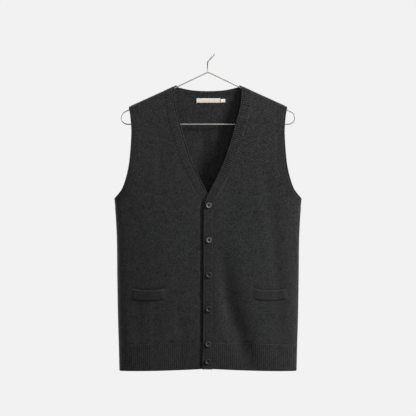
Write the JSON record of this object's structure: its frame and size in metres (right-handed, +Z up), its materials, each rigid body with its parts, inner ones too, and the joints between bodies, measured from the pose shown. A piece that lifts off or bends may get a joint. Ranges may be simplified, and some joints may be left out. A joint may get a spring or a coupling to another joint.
{
  "type": "knitted sweater vest on a wire hanger",
  "caption": "Sleeveless knitted waistcoat with a V neck, ribbed bands, two pocket welts and a buttoned front, hanging on a bent wire hanger.",
  "frame": {"origin": "where the hook hangs on a rail: inside the top of the hook's arc", "axes": "+Z is up, along the length from hem to hook; the front faces -Y; +X is the wearer's left"},
  "size_m": [0.4539, 0.0581, 0.7683],
  "materials": {
    "jersey": "plain wool knit, matt with a soft nap",
    "rib": "ribbed wool knit, matt",
    "label": "woven satin, cream, bare",
    "size_tab": "woven satin, off-white, bare",
    "button": "semi-gloss, dark grey with a brighter rim",
    "wire": "drawn steel wire, satin"
  },
  "bodies": {
    "root": {"right_front_panel": "jersey", "left_front_panel": "jersey", "back_panel": "jersey", "right_front_hem_rib": "rib", "left_front_hem_rib": "rib", "back_hem_rib": "rib", "right_armhole_band": "rib", "left_armhole_band": "rib", "neck_and_front_band": "rib", "right_pocket_welt": "rib", "left_pocket_welt": "rib", "neck_label": "label", "size_label": "size_tab", "button_1": "button", "button_2": "button", "button_3": "button", "button_4": "button", "button_5": "button", "button_6": "button", "hanger_frame": "wire", "hanger_hook": "wire"}
  },
  "joints": []
}
